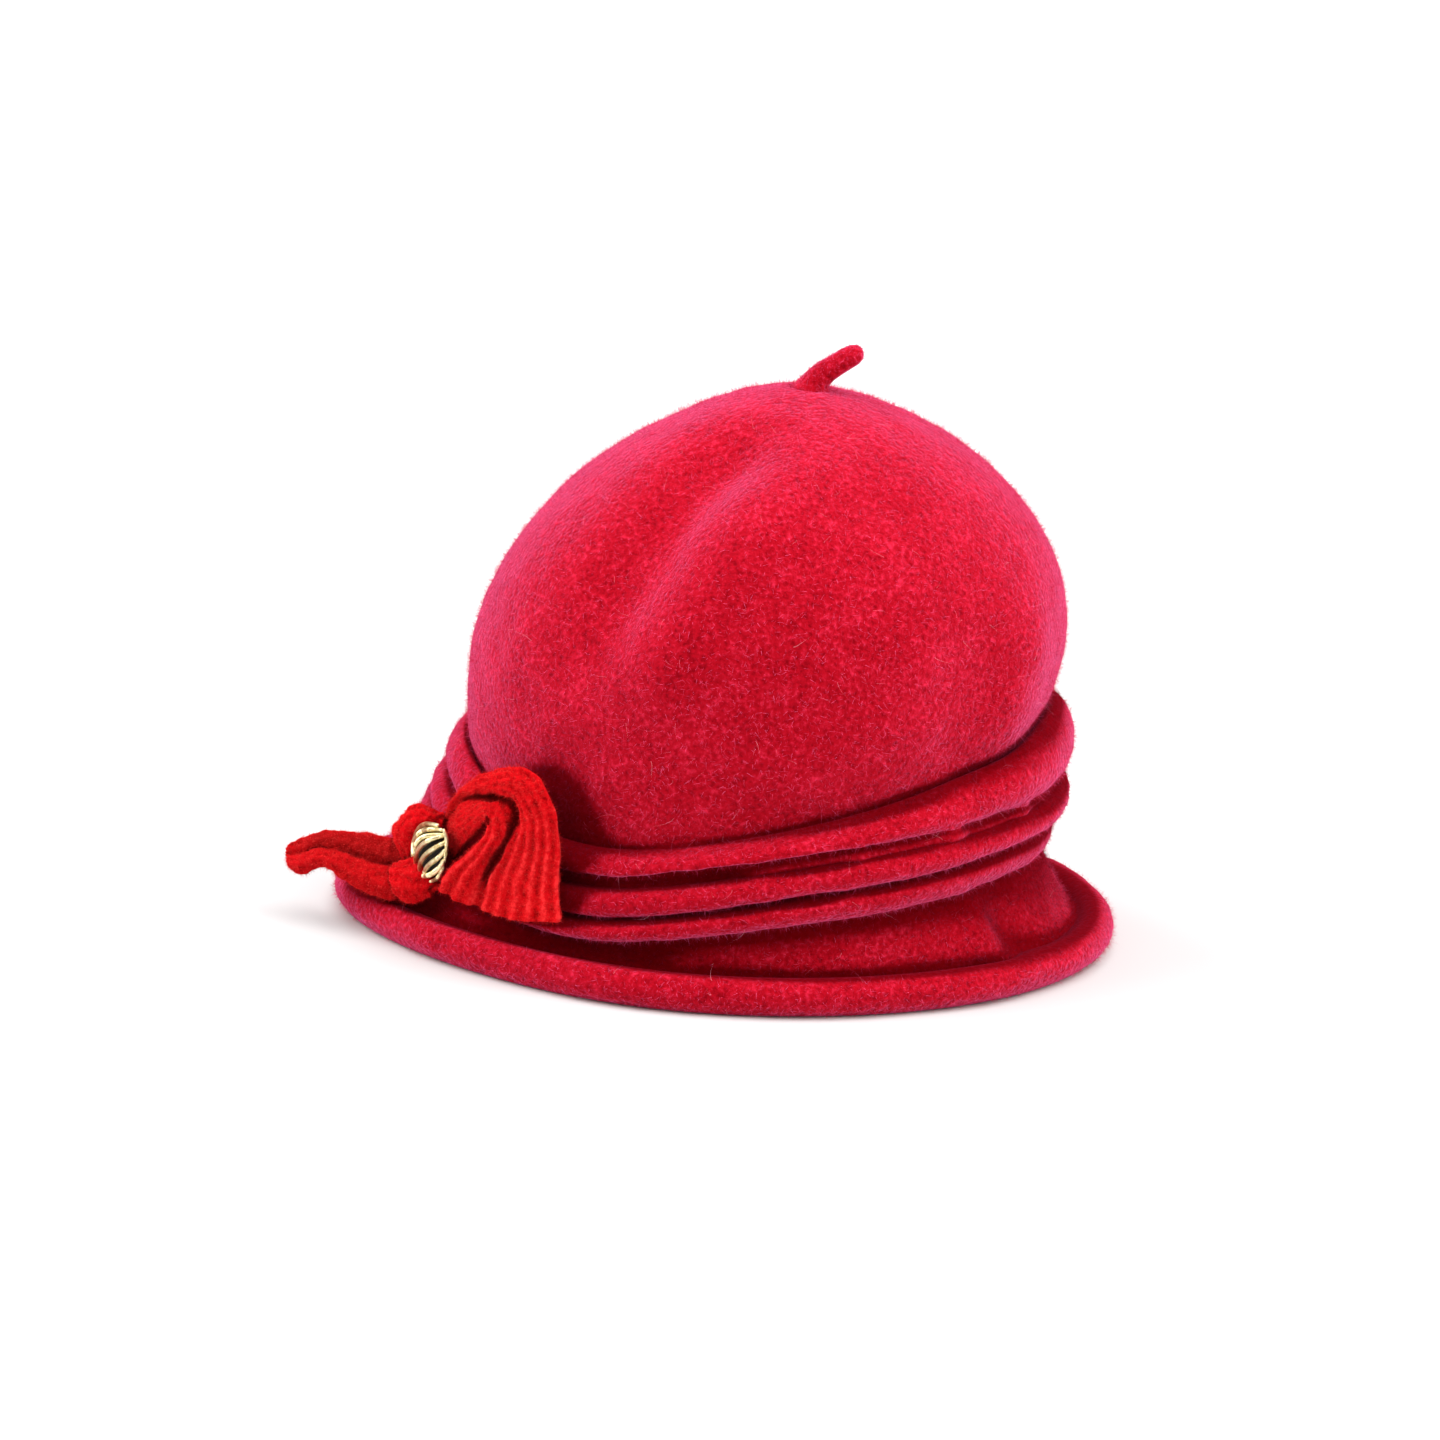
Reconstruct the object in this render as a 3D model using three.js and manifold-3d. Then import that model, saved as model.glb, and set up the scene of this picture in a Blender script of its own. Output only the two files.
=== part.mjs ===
// A wool felt cloche hat with a ribbed ribbon bow, in millimetres, +Z up.
// It stands on its lip at z = 0. The front of the hat is -Y and the wearer's left is +X. The
// sizes below are measured from the middle of the lip's outline, and at the end the hat is
// moved so that the origin lies under the middle of its whole length, bow included.
import * as THREE from 'three';
import { mergeVertices } from 'three/addons/utils/BufferGeometryUtils.js';
import Module from 'manifold-3d';

const wasm = await Module();
wasm.setup();

// ---- driving dimensions ----

const FELT = 3;                 // thickness of the felt wall
const AROUND = 60;              // facets round the felt
const SEAT_GAP = 0.3;           // clearance that pieces sewn together keep

// The crown's top, where the stalk is sewn.
const APEX = { y: 18, z: 186 };
const DOME_STEPS = { outside: 13, inside: 7 };   // facets from the fullest oval to the apex
// How full the dome is at the front, the sides and the back: 1 is an ellipse, less is fuller.
const DOME_SHAPE = { front: 1.28, side: 1.18, back: 1.28 };

// Ovals of the crown and the wall without its tucks, from the top down. front and back are the
// distances from the origin along -Y and +Y, side is the half width, z is given at the front,
// the sides and the back, and dip is how much lower the felt is drawn at the bow.
const CROWN = [
  { name: 'fullest', front: 90.8, back: 108.5, side: 89, zFront: 84, zSide: 100, zBack: 110, dip: 4 },
  { name: 'under the slouch', front: 90.8, back: 107, side: 90, zFront: 76, zSide: 85, zBack: 96, dip: 14 },
  { name: 'foot of crown', front: 89, back: 101, side: 86.5, zFront: 63, zSide: 63.5, zBack: 78.5, dip: 19 },
];
const CROWN_STEPS = 3;          // facets between two ovals of the crown

// The tucks are rounded ridges, sewn one under the other. Each row gives the oval of a band's
// lower edge, which is the upper edge of the next one, and how far the band stands proud of
// the wall. top and foot are the angles from the band's crest to its upper and lower edge:
// past 90 degrees the ridge overhangs its crease. The bare strip is hollowed a little.
const BANDS = [
  {
    name: 'upper tuck', front: 92.5, back: 104.5, side: 91, zFront: 52.5, zSide: 57.3, zBack: 61, dip: 18,
    proudFront: 6.5, proudSide: 8.3, proudBack: 12, top: 150, foot: 100, facets: 7,
  },
  {
    name: 'bare strip', front: 94, back: 106, side: 92.2, zFront: 50, zSide: 53.4, zBack: 58, dip: 18.5,
    proudFront: -0.5, proudSide: -0.8, proudBack: -0.3, top: 90, foot: 90, facets: 2,
  },
  {
    name: 'middle tuck', front: 97.5, back: 105.5, side: 91.5, zFront: 42, zSide: 42.8, zBack: 47.4,
    dip: 18.5, proudFront: 6, proudSide: 6.8, proudBack: 8.5, top: 105, foot: 96, facets: 6,
  },
  {
    name: 'lower tuck', front: 101, back: 103, side: 87.5, zFront: 33.2, zSide: 32.8, zBack: 36, dip: 16.5,
    proudFront: 6, proudSide: 9.5, proudBack: 5, top: 96, foot: 125, facets: 6,
  },
];

// The felt is drawn down over this stretch round the hat, in degrees from the front.
const DIP = { turn: 55, spread: 40 };

// The wall's foot and the brim's upper face, down to the gutter behind the lip. nose is how
// much an oval narrows at its front.
const BRIM = [
  {
    name: 'foot of wall', front: 105, back: 109.5, side: 91,
    zFront: 34, zSide: 19.5, zBack: 22, dip: 9.5, nose: 0,
  },
  {
    name: 'middle of brim', front: 115, back: 116, side: 92.4,
    zFront: 23, zSide: 12.5, zBack: 13, dip: 3, nose: 0.14,
  },
  {
    name: 'gutter by the lip', front: 122.2, back: 118, side: 93.2,
    zFront: 10.5, zSide: 8.4, zBack: 11, dip: 0, nose: 0.21,
  },
];

// The lip is the brim's edge rolled under into a bead with a flat foot.
const LIP = { front: 133.5, back: 132, side: 104.5, nose: 0.22, height: 12.8, foot: 4 };
const LIP_WIDTH = { front: 11, side: 11, back: 14.5 };
const LIP_STEPS = 7;
const TO_MIDDLE_OF_LENGTH = 7.67;         // how far the whole hat is moved along Y at the end

// Soft forms pushed into the felt: each runs from one point to another, fades over its width,
// and moves the felt out, or in where negative.
const SOFT_FORMS = [
  { name: 'long dent', from: [44, -8, 174], to: [74, -48, 120], width: 16, out: -9.5 },
  { name: 'ridge behind the dent', from: [60, 8, 168], to: [82, -28, 112], width: 17, out: 5 },
  { name: 'fold of the slouch', from: [45, 94, 112], to: [52, 90, 84], width: 13, out: 3 },
  { name: 'valley beside it', from: [66, 78, 108], to: [70, 72, 86], width: 13, out: -3 },
  { name: 'buckle of the wall', from: [64, 76, 23], to: [60, 86, 15], width: 9, out: 4 },
  { name: 'hollow beside it', from: [50, 89, 21], to: [52, 93, 16], width: 8, out: -4 },
];

// The stalk is a felted cord that leans back from the apex. Each row is a point of its middle
// line, in the plane x = 0, and its radius there.
const STALK = [
  { name: 'sunk root', y: 18.6, z: 183, radius: 5.2 },
  { name: 'root', y: 19.4, z: 187, radius: 4.4 },
  { name: 'bend', y: 21.4, z: 190.6, radius: 3.6 },
  { name: 'shank', y: 24.6, z: 193.6, radius: 3.4 },
  { name: 'shank', y: 28.2, z: 195.9, radius: 3.5 },
  { name: 'rounding off', y: 31.6, z: 197.6, radius: 3.3 },
  { name: 'tip', y: 33.6, z: 198.4, radius: 2 },
];
const STALK_SIDES = 10;

// The bow is one ribbed ribbon. Each table follows a stretch of it, and each row gives the two
// edges of the ribbon there, as x, y, z, and how far the middle runs ahead of them.
const FAN = [
  { name: 'under the button', edge: [51.3, -94.4, 48.8], inner: [53, -93.2, 39], ahead: 0 },
  { name: 'rising', edge: [68, -77.5, 66.5], inner: [71, -79, 55], ahead: 0 },
  { name: 'top of the turn', edge: [75.8, -66, 72.2], inner: [77, -73, 58], ahead: 0 },
  { name: 'over', edge: [82, -57, 67.2], inner: [80, -68.5, 56], ahead: 0 },
  { name: 'coming down', edge: [85.5, -54, 56.2], inner: [80.5, -69.5, 49], ahead: 0 },
  { name: 'middle', edge: [87.5, -53.2, 44.5], inner: [74.5, -77, 40], ahead: 1 },
  { name: 'low', edge: [88.9, -53.3, 34.2], inner: [64, -87, 29], ahead: 2 },
  { name: 'cut hem', edge: [90.9, -54.1, 24.7], inner: [51.4, -95.6, 21.4], ahead: 3 },
];
const ROLL = [
  { name: 'under the button', edge: [54.2, -92.7, 50.8], inner: [55.6, -94.2, 24.3], ahead: 0 },
  { name: 'spreading', edge: [65.7, -87.9, 55.9], inner: [67, -86.8, 32.1], ahead: 0 },
  { name: 'middle', edge: [74.8, -82.3, 60.4], inner: [76.1, -79.6, 42.3], ahead: 1 },
  { name: 'rounding off', edge: [79.2, -77.6, 61.6], inner: [81.5, -73.5, 50.7], ahead: 1 },
  { name: 'tip', edge: [79.8, -73.9, 60], inner: [81.1, -70.8, 55.5], ahead: 1 },
];
const LOOP = [
  { name: 'foot', edge: [37, -108, 27], inner: [43, -100, 29], ahead: 0 },
  { name: 'rising', edge: [36, -110.9, 37], inner: [43, -103, 35.5], ahead: 0 },
  { name: 'turning', edge: [36, -107.5, 44.5], inner: [43, -101.5, 38.5], ahead: 0 },
  { name: 'top', edge: [37, -101, 46.6], inner: [43, -99, 39.5], ahead: 0 },
  { name: 'under the button', edge: [41, -94, 44.5], inner: [45, -95, 37], ahead: 0 },
];
const TAIL = [
  { name: 'tip', edge: [20, -147.2, 23.5], inner: [26, -145.7, 17.4], ahead: 0 },
  { name: 'round end', edge: [21, -142.8, 26.5], inner: [28, -138.9, 17.4], ahead: 0 },
  { name: 'neck', edge: [23, -135.3, 29.3], inner: [30, -134.5, 20.7], ahead: 0 },
  { name: 'past the lip', edge: [26, -126.8, 31.1], inner: [34, -127.4, 18.2], ahead: 0 },
  { name: 'over the lip', edge: [30, -118.2, 32.9], inner: [38, -118.6, 14.6], ahead: 0 },
  { name: 'on the brim', edge: [34, -110.2, 33.5], inner: [42, -110, 12.4], ahead: 0 },
  { name: 'under the button', edge: [39, -101, 34.6], inner: [46, -99.8, 17.7], ahead: 0 },
];
const FOLD = [
  { name: 'left end', edge: [40, -110.6, 27.4], inner: [44, -110.8, 23.8], ahead: 0 },
  { name: 'swelling', edge: [43, -107.8, 30.6], inner: [47, -108.8, 19.3], ahead: 0 },
  { name: 'fullest', edge: [46, -103.7, 32.4], inner: [50, -103.8, 17.4], ahead: 0 },
  { name: 'narrowing', edge: [48, -99.3, 33.3], inner: [52, -98.5, 19.1], ahead: 0 },
  { name: 'right end', edge: [50, -95.2, 33.5], inner: [53, -94.6, 23.4], ahead: 0 },
];
const RIB = 0.7;                // height of the ribbon's ribs

// The button: a domed gilt knot of twisted strands, facing this way from its middle.
const BUTTON = {
  at: [50, -97.5, 33.8], turn: 34, lean: 9, radius: 10.9, dome: 4.2, edge: 1.6,
  strands: 8, strandHeight: 0.8, swirl: 1.6, around: 32, rings: 5,
};

// ---- helpers ----

const DEGREE = Math.PI / 180;
const mix = (a, b, t) => a + (b - a) * t;

// A copy of an oval with its numbers mixed with another's.
function mixOvals(a, b, t) {
  const oval = {};
  for (const key of ['front', 'back', 'side', 'zFront', 'zSide', 'zBack', 'dip', 'nose']) {
    oval[key] = mix(a[key] ?? 0, b[key] ?? 0, t);
  }
  return oval;
}

// An oval moved out of (or, where negative, into) the wall and up or down.
function shiftOval(oval, out, up = 0) {
  const pushes = typeof out === 'number' ? { front: out, side: out, back: out } : out;
  return {
    ...oval,
    front: oval.front + pushes.front,
    back: oval.back + pushes.back,
    side: oval.side + pushes.side,
    zFront: oval.zFront + up,
    zSide: oval.zSide + up,
    zBack: oval.zBack + up,
  };
}

// Ovals on a smooth curve through the given ones.
function smoothOvals(ovals, steps) {
  const curve = new THREE.CatmullRomCurve3([], false, 'centripetal');
  const keys = [['front', 'zFront'], ['side', 'zSide'], ['back', 'zBack']];
  const smooth = [];
  for (let i = 0; i <= steps * (ovals.length - 1); i += 1) {
    const oval = {};
    for (const [reach, level] of keys) {
      curve.points = ovals.map((o) => new THREE.Vector3(o[reach], o[level], 0));
      const point = curve.getPoint(i / (steps * (ovals.length - 1)));
      oval[reach] = point.x;
      oval[level] = point.y;
    }
    const before = Math.min(Math.floor(i / steps), ovals.length - 2);
    oval.dip = mix(ovals[before].dip, ovals[before + 1].dip, i / steps - before);
    smooth.push(oval);
  }
  return smooth;
}

function indexed(positions, faces) {
  const geometry = new THREE.BufferGeometry();
  geometry.setAttribute('position', new THREE.Float32BufferAttribute(positions, 3));
  geometry.setIndex(faces);
  return geometry;
}

// The point of an oval at a turn round the hat, 0 at the front and 90 degrees at +X.
function ovalPoint(oval, turn) {
  const middle = (oval.back - oval.front) / 2;
  const half = (oval.back + oval.front) / 2;
  const ahead = Math.max(0, Math.cos(turn)) ** 2;
  const behind = Math.max(0, -Math.cos(turn)) ** 2;
  const aside = Math.sin(turn) ** 2;
  const fromDip = ((turn / DEGREE - DIP.turn + 540) % 360) - 180;
  const drawn = Math.exp(-((fromDip / DIP.spread) ** 2));
  return new THREE.Vector3(
    oval.side * Math.sin(turn) * (1 - (oval.nose ?? 0) * ahead),
    middle - half * Math.cos(turn),
    oval.zFront * ahead + oval.zBack * behind + oval.zSide * aside - (oval.dip ?? 0) * drawn,
  );
}

// Where the soft forms leave a point of the felt.
function softened(point) {
  const moved = point.clone();
  const steepness = Math.max(0, point.z - 100) * 0.8;
  const outward = new THREE.Vector3(point.x, point.y - APEX.y / 2, steepness).normalize();
  const clearOfFoot = Math.min(1, Math.max(0, (point.z - 2) / LIP.height));
  const nearest = new THREE.Vector3();
  for (const form of SOFT_FORMS) {
    const line = new THREE.Line3(new THREE.Vector3(...form.from), new THREE.Vector3(...form.to));
    line.closestPointToPoint(point, true, nearest);
    const strength = clearOfFoot * Math.exp(-((nearest.distanceTo(point) / form.width) ** 2));
    moved.addScaledVector(outward, form.out * strength);
  }
  return moved;
}

// ---- felt body ----

// Ovals of the dome between the crown's fullest oval and the apex, from the top down.
function domeOvals(fullest, apexZ, steps) {
  const ovals = [];
  for (let i = 1; i < steps; i += 1) {
    const climb = (1 - i / steps) * 90 * DEGREE;
    const reach = (shape) => Math.cos(climb) ** shape;
    const rise = Math.sin(climb);
    ovals.push({
      front: (fullest.front + APEX.y) * reach(DOME_SHAPE.front) - APEX.y,
      back: (fullest.back - APEX.y) * reach(DOME_SHAPE.back) + APEX.y,
      side: fullest.side * reach(DOME_SHAPE.side),
      zFront: mix(fullest.zFront, apexZ, rise),
      zSide: mix(fullest.zSide, apexZ, rise),
      zBack: mix(fullest.zBack, apexZ, rise),
      dip: fullest.dip * (1 - rise),
    });
  }
  return ovals;
}

// A band from its upper edge over its crest to its lower edge, without the upper edge itself.
function bandOvals(upper, band) {
  const top = band.top * DEGREE;
  const foot = band.foot * DEGREE;
  const ovals = [];
  for (let i = 1; i <= band.facets; i += 1) {
    const angle = mix(top, -foot, i / band.facets);
    const along = (Math.sin(top) - Math.sin(angle)) / (Math.sin(top) + Math.sin(foot));
    const crease = Math.cos(angle > 0 ? top : foot);
    const bulge = (Math.cos(angle) - crease) / (1 - crease);
    const proud = {
      front: band.proudFront * bulge,
      side: band.proudSide * bulge,
      back: band.proudBack * bulge,
    };
    ovals.push(shiftOval(mixOvals(upper, band, along), proud));
  }
  return ovals;
}

// The lip's outline at a level, this share of its width and this much more in from its edge.
function lipOval(share, z, more = 0) {
  const inset = {
    front: -LIP_WIDTH.front * share - more,
    side: -LIP_WIDTH.side * share - more,
    back: -LIP_WIDTH.back * share - more,
  };
  return shiftOval({ ...LIP, zFront: z, zSide: z, zBack: z, dip: 0 }, inset);
}

// The lip's round face and its flat foot, from the gutter over the roll to the inner side.
function lipOvals() {
  const ovals = [];
  for (let i = 0; i < LIP_STEPS; i += 1) {
    const angle = mix(145, -60, i / (LIP_STEPS - 1)) * DEGREE;
    const share = (1 - Math.cos(angle)) / 2;
    ovals.push(lipOval(share, (LIP.height / 2) * (1 + Math.sin(angle))));
  }
  ovals.push(lipOval(0.5, 0, -LIP.foot / 2));
  ovals.push(lipOval(0.5, 0, LIP.foot / 2));
  ovals.push(lipOval(1, 2.4, -0.8));
  ovals.push(lipOval(1, 6));
  return ovals;
}

// The felt as the hollow hat, and as a filled block that other pieces are fitted to.
function feltBody() {
  const outside = [...domeOvals(CROWN[0], APEX.z, DOME_STEPS.outside)];
  outside.push(...smoothOvals(CROWN, CROWN_STEPS));
  let upper = CROWN[CROWN.length - 1];
  for (const band of BANDS) {
    outside.push(...bandOvals(upper, band));
    upper = band;
  }
  const [wallFoot, middleOfBrim, gutter] = BRIM;
  outside.push(wallFoot, middleOfBrim, gutter, ...lipOvals());

  const crownInside = shiftOval(CROWN[0], -FELT);
  const inside = [
    shiftOval(gutter, -1.2, -FELT),
    shiftOval(middleOfBrim, -2, -FELT),
    shiftOval(wallFoot, -FELT, -FELT / 2),
    shiftOval(BANDS[3], -FELT),
    shiftOval(BANDS[1], -FELT),
    shiftOval(CROWN[2], -FELT),
    shiftOval(CROWN[1], -FELT),
    crownInside,
    ...domeOvals(crownInside, APEX.z - FELT, DOME_STEPS.inside).reverse(),
  ];
  const apexInside = new THREE.Vector3(0, APEX.y, APEX.z - FELT);
  return {
    hollow: skin([...outside, ...inside], apexInside),
    filled: skin(outside, new THREE.Vector3(0, 0, 0)),
  };
}

// A closed surface from the apex down through the ovals to an end point.
function skin(rows, end) {
  const positions = [];
  const place = (point) => positions.push(...softened(point).toArray());
  place(new THREE.Vector3(0, APEX.y, APEX.z));
  for (const row of rows) {
    for (let k = 0; k < AROUND; k += 1) {
      place(ovalPoint(row, (k / AROUND) * 2 * Math.PI));
    }
  }
  place(end);

  const faces = [];
  const vertex = (row, k) => 1 + row * AROUND + (k % AROUND);
  const last = 1 + rows.length * AROUND;
  for (let k = 0; k < AROUND; k += 1) {
    faces.push(0, vertex(0, k), vertex(0, k + 1));
    for (let row = 0; row + 1 < rows.length; row += 1) {
      faces.push(vertex(row, k), vertex(row + 1, k), vertex(row + 1, k + 1));
      faces.push(vertex(row, k), vertex(row + 1, k + 1), vertex(row, k + 1));
    }
    faces.push(vertex(rows.length - 1, k), last, vertex(rows.length - 1, k + 1));
  }
  return indexed(positions, faces);
}

// ---- stalk ----

// A round cord through the points of its table, closed at both ends.
function crownStalk() {
  const route = new THREE.CatmullRomCurve3(STALK.map((row) => new THREE.Vector3(0, row.y, row.z)));
  const across = new THREE.Vector3(1, 0, 0);
  const positions = [];
  const faces = [];
  for (const [j, row] of STALK.entries()) {
    const up = across.clone().cross(route.getTangent(j / (STALK.length - 1)));
    for (let k = 0; k < STALK_SIDES; k += 1) {
      const angle = (k / STALK_SIDES) * 2 * Math.PI;
      const point = new THREE.Vector3(0, row.y, row.z);
      point.addScaledVector(across, row.radius * Math.cos(angle));
      point.addScaledVector(up, row.radius * Math.sin(angle));
      positions.push(...point.toArray());
    }
  }
  const first = STALK[0];
  const tip = STALK[STALK.length - 1];
  const middles = positions.length / 3;
  positions.push(0, first.y, first.z);
  positions.push(0, tip.y + tip.radius * 0.5, tip.z + tip.radius * 0.2);
  const vertex = (j, k) => j * STALK_SIDES + (k % STALK_SIDES);
  for (let k = 0; k < STALK_SIDES; k += 1) {
    faces.push(middles, vertex(0, k), vertex(0, k + 1));
    for (let j = 0; j + 1 < STALK.length; j += 1) {
      faces.push(vertex(j, k), vertex(j + 1, k + 1), vertex(j, k + 1));
      faces.push(vertex(j, k), vertex(j + 1, k), vertex(j + 1, k + 1));
    }
    faces.push(vertex(STALK.length - 1, k), middles + 1, vertex(STALK.length - 1, k + 1));
  }
  return indexed(positions, faces);
}

// ---- ribbon bow ----

const toVector = (numbers) => new THREE.Vector3(...numbers);

// A puffed strip of ribbon between the two edges that its table gives. across and along are the
// facets over its width and length, thick is its thickness in the middle, and ribs is how many
// run along its face.
function ribbonStrip(table, { across, along, thick, ribs }) {
  const edge = new THREE.CatmullRomCurve3(table.map((row) => toVector(row.edge)));
  const inner = new THREE.CatmullRomCurve3(table.map((row) => toVector(row.inner)));
  const aheadCurve = new THREE.SplineCurve(table.map((row, i) => new THREE.Vector2(i, row.ahead)));
  const point = (u, v) => {
    const middle = edge.getPoint(v).lerp(inner.getPoint(v), u);
    const onward = edge.getTangent(v).lerp(inner.getTangent(v), u).normalize();
    return middle.addScaledVector(onward, aheadCurve.getPoint(v).y * Math.sin(Math.PI * u));
  };
  const away = new THREE.Vector3(1, -1, 0);
  const step = 0.01;
  const front = [];
  const back = [];
  for (let j = 0; j <= along; j += 1) {
    for (let i = 0; i <= across; i += 1) {
      const u = i / across;
      const v = j / along;
      const over = point(Math.min(u + step, 1), v).sub(point(Math.max(u - step, 0), v));
      const onward = point(u, Math.min(v + step, 1)).sub(point(u, Math.max(v - step, 0)));
      const outward = over.cross(onward).normalize();
      if (outward.dot(away) < 0) {
        outward.negate();
      }
      const roundAcross = Math.sqrt(Math.max(0.06, 1 - (2 * u - 1) ** 4));
      const roundAlong = Math.sqrt(Math.max(0.1, 1 - (2 * v - 1) ** 8));
      const half = (thick / 2) * roundAcross * roundAlong;
      const rib = RIB * Math.cos(2 * Math.PI * ribs * u) * roundAcross * roundAlong;
      front.push(point(u, v).addScaledVector(outward, half + rib));
      back.push(point(u, v).addScaledVector(outward, -half));
    }
  }
  return shell(front, back, across, along);
}

// A closed solid between two grids of points, the second behind the first.
function shell(front, back, across, along) {
  const positions = [];
  for (const point of [...front, ...back]) {
    positions.push(point.x, point.y, point.z);
  }
  const wide = across + 1;
  const behind = front.length;
  const triangles = [];
  const quad = (a, b, c, d) => triangles.push(a, b, c, a, c, d);
  for (let j = 0; j < along; j += 1) {
    for (let i = 0; i < across; i += 1) {
      const k = j * wide + i;
      quad(k, k + 1, k + wide + 1, k + wide);
      quad(behind + k, behind + k + wide, behind + k + wide + 1, behind + k + 1);
    }
  }
  for (let i = 0; i < across; i += 1) {
    const top = along * wide + i;
    quad(i, behind + i, behind + i + 1, i + 1);
    quad(top, top + 1, behind + top + 1, behind + top);
  }
  for (let j = 0; j < along; j += 1) {
    const left = j * wide;
    const right = left + across;
    quad(left, left + wide, behind + left + wide, behind + left);
    quad(right, behind + right, behind + right + wide, right + wide);
  }
  return indexed(positions, triangles);
}

// ---- button ----

// A dome of twisted strands with a flat back, built facing +Z and turned to its place.
function knotButton() {
  const { radius, dome, edge, strands, strandHeight, swirl, around, rings } = BUTTON;
  const positions = [0, 0, dome];
  for (let ring = 1; ring <= rings; ring += 1) {
    const out = ring / rings;
    const height = dome * Math.sqrt(1 - 0.9 * out * out);
    const depth = strandHeight * Math.sin(Math.PI * out * 0.8);
    for (let k = 0; k < around; k += 1) {
      const angle = (k / around) * 2 * Math.PI;
      const groove = 1 - Math.abs(Math.cos((strands / 2) * (angle + swirl * out)));
      const rise = height - depth * groove;
      positions.push(radius * out * Math.cos(angle), radius * out * Math.sin(angle), rise);
    }
  }
  for (let k = 0; k < around; k += 1) {
    const angle = (k / around) * 2 * Math.PI;
    positions.push(radius * Math.cos(angle), radius * Math.sin(angle), -edge);
  }
  positions.push(0, 0, -edge);
  const faces = [];
  const vertex = (ring, k) => 1 + (ring - 1) * around + (k % around);
  const last = positions.length / 3 - 1;
  for (let k = 0; k < around; k += 1) {
    faces.push(0, vertex(1, k), vertex(1, k + 1));
    for (let ring = 1; ring <= rings; ring += 1) {
      faces.push(vertex(ring, k), vertex(ring + 1, k), vertex(ring + 1, k + 1));
      faces.push(vertex(ring, k), vertex(ring + 1, k + 1), vertex(ring, k + 1));
    }
    faces.push(vertex(rings + 1, k), last, vertex(rings + 1, k + 1));
  }
  const button = indexed(positions, faces);
  button.rotateX((90 - BUTTON.lean) * DEGREE);
  button.rotateZ(BUTTON.turn * DEGREE);
  button.translate(...BUTTON.at);
  return button;
}

// ---- joining and cutting ----

// A geometry as a solid for joining and cutting, swollen all round where by is given.
function toSolid(geometry, by = 0) {
  const bare = geometry.clone();
  bare.deleteAttribute('normal');
  bare.deleteAttribute('uv');
  const merged = mergeVertices(bare, 1e-4);
  merged.computeVertexNormals();
  const places = merged.attributes.position;
  const normals = merged.attributes.normal;
  const point = new THREE.Vector3();
  const normal = new THREE.Vector3();
  for (let i = 0; i < places.count; i += 1) {
    point.fromBufferAttribute(places, i);
    normal.fromBufferAttribute(normals, i);
    point.addScaledVector(normal, by);
    places.setXYZ(i, point.x, point.y, point.z);
  }
  return new wasm.Manifold(new wasm.Mesh({
    numProp: 3,
    vertProperties: new Float32Array(places.array),
    triVerts: new Uint32Array(merged.index.array),
  }));
}

// The largest body of a solid, as a geometry.
function toGeometry(solid) {
  const largest = solid.decompose().sort((a, b) => b.volume() - a.volume())[0];
  const mesh = largest.getMesh();
  return indexed(Array.from(mesh.vertProperties), Array.from(mesh.triVerts));
}

// The joined parts of a piece, without what the earlier pieces and the gap round those take up.
function fitted(parts, earlier) {
  const joined = wasm.Manifold.union(parts.map((part) => toSolid(part)));
  const taken = wasm.Manifold.union(earlier.map((piece) => toSolid(piece, SEAT_GAP)));
  return toGeometry(joined.subtract(taken));
}

// ---- assembly ----

const felt = new THREE.MeshStandardMaterial({ color: 0xbe1533, roughness: 0.95, metalness: 0 });
const ribbon = new THREE.MeshStandardMaterial({ color: 0xcc1414, roughness: 0.8, metalness: 0 });
const gilt = new THREE.MeshStandardMaterial({ color: 0xd8c070, roughness: 0.35, metalness: 1 });

const body = feltBody();
const button = knotButton();
const band = ribbonStrip(FAN, { across: 18, along: 11, thick: 3, ribs: 9 });
const roll = ribbonStrip(ROLL, { across: 8, along: 7, thick: 9, ribs: 4 });
const fold = ribbonStrip(FOLD, { across: 6, along: 6, thick: 9, ribs: 3 });
const tail = ribbonStrip(TAIL, { across: 6, along: 11, thick: 5, ribs: 3 });
const loop = ribbonStrip(LOOP, { across: 6, along: 9, thick: 4, ribs: 3 });

const hat = new THREE.Group();
function add(name, geometry, material) {
  const mesh = new THREE.Mesh(geometry, material);
  mesh.name = name;
  hat.add(mesh);
}
add('felt_body', body.hollow, felt);
add('crown_stalk', fitted([crownStalk()], [body.filled]), felt);
add('knot_button', button, gilt);
add('bow_fan', fitted([band, roll], [body.filled, button]), ribbon);
add('bow_fold', fitted([fold], [body.filled, button, band, roll]), ribbon);
add('bow_tail', fitted([tail], [body.filled, button, band, roll, fold]), ribbon);
add('bow_loop', fitted([loop], [body.filled, button, band, roll, fold, tail]), ribbon);

hat.position.y = TO_MIDDLE_OF_LENGTH;

export default hat;
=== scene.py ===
import math

import bmesh
import bpy
import numpy as np
from mathutils import Matrix, Vector, noise
from mathutils.bvhtree import BVHTree


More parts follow.
